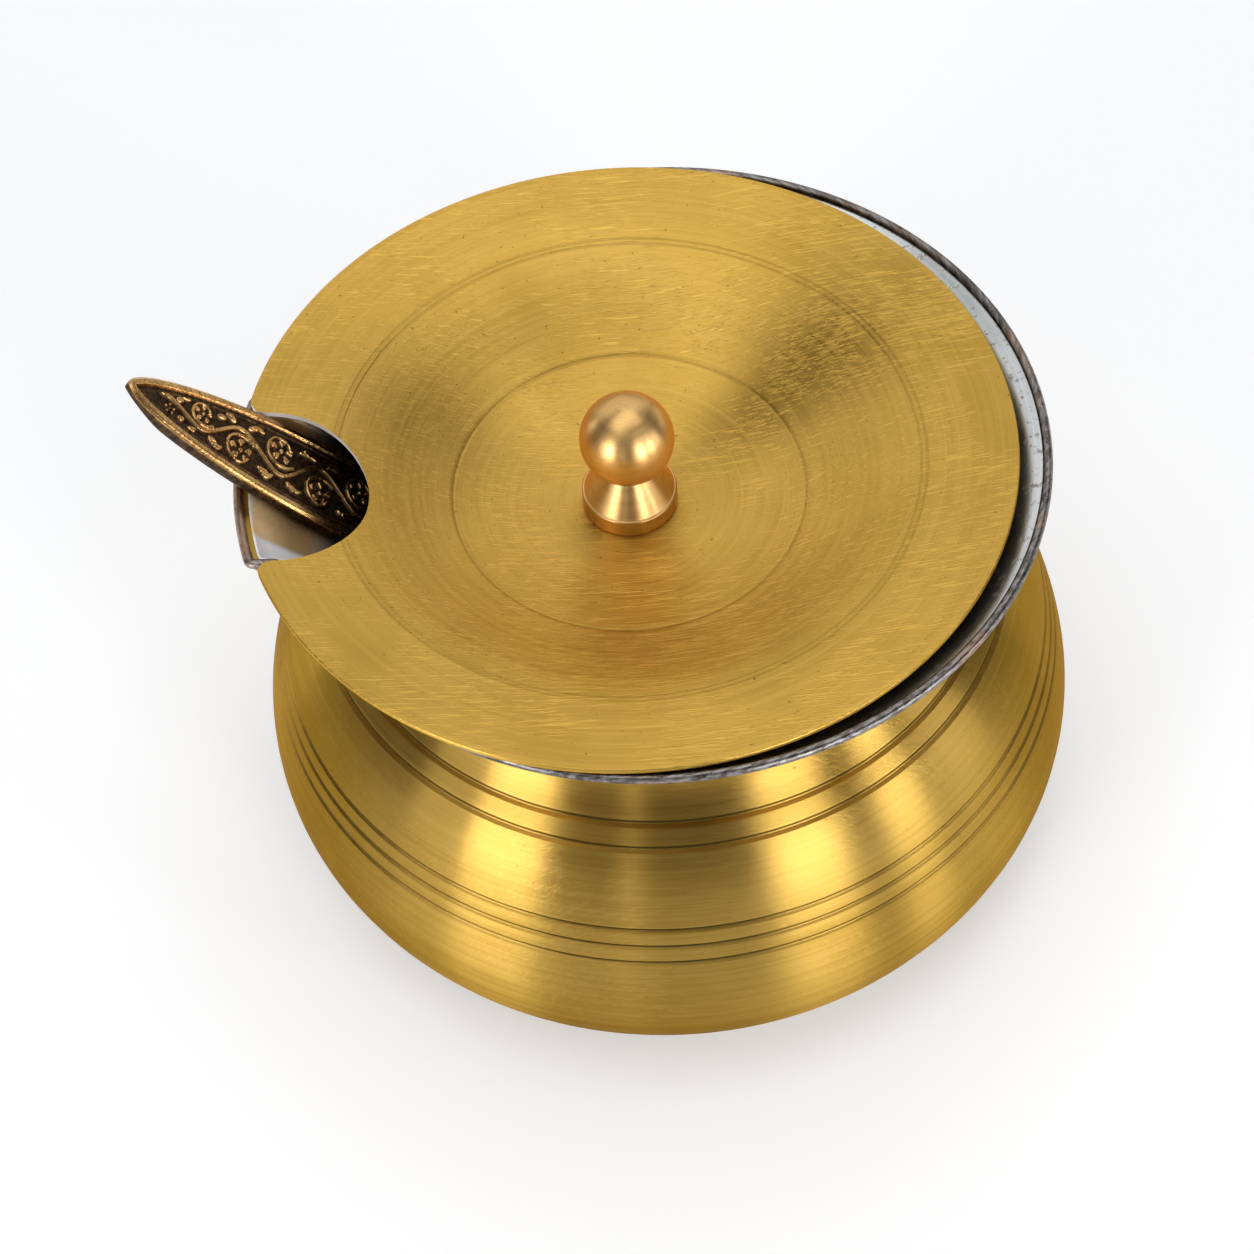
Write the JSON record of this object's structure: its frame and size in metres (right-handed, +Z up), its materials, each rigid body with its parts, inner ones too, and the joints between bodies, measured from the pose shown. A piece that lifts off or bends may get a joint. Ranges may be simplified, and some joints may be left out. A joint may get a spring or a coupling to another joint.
{
  "type": "ghee pot with lid and spoon",
  "caption": "Squat spun brass pot with a flared tinned rim and pouring lip, a dished lid with a round knob, and a long leaf-handled spoon leaning in the lid's notch.",
  "frame": {"origin": "on the table under the middle of the pot's flat base", "axes": "+Z up along the pot's own axis, -X towards the pouring lip and the spoon's handle, +Y towards the back"},
  "size_m": [0.1321, 0.1226, 0.0898],
  "materials": {
    "pot_brass": "satin, turned",
    "lid_brass": "satin, turned",
    "knob_brass": "polished",
    "washer_brass": "plain",
    "tin": "hand-wiped tin",
    "steel": "plated",
    "antique_bronze": "antique, raised parts rubbed bright"
  },
  "bodies": {
    "pot": {"pot_body": "pot_brass", "tin_lining": "tin"},
    "knob": {"lid_knob": "knob_brass", "knob_screw": "steel", "knob_washer": "washer_brass"},
    "lid": {"lid_plate": "lid_brass"},
    "spoon": {"spoon": "antique_bronze"}
  },
  "joints": [
    {"name": "lid_lift", "type": "slide", "parent": "pot", "child": "knob", "axis": [0, 0, 1], "range_m": [0, 0.05]},
    {"name": "lid_turn", "type": "hinge", "parent": "knob", "child": "lid", "pos_m": [-0.0036, 0, 0.07344], "axis": [0.0122, 0, 0.9999], "range_deg": [-12, 0]},
    {"name": "spoon_draw", "type": "slide", "parent": "pot", "child": "spoon", "axis": [-0.6326, -0.0665, 0.7716], "range_m": [0, 0.1]}
  ]
}
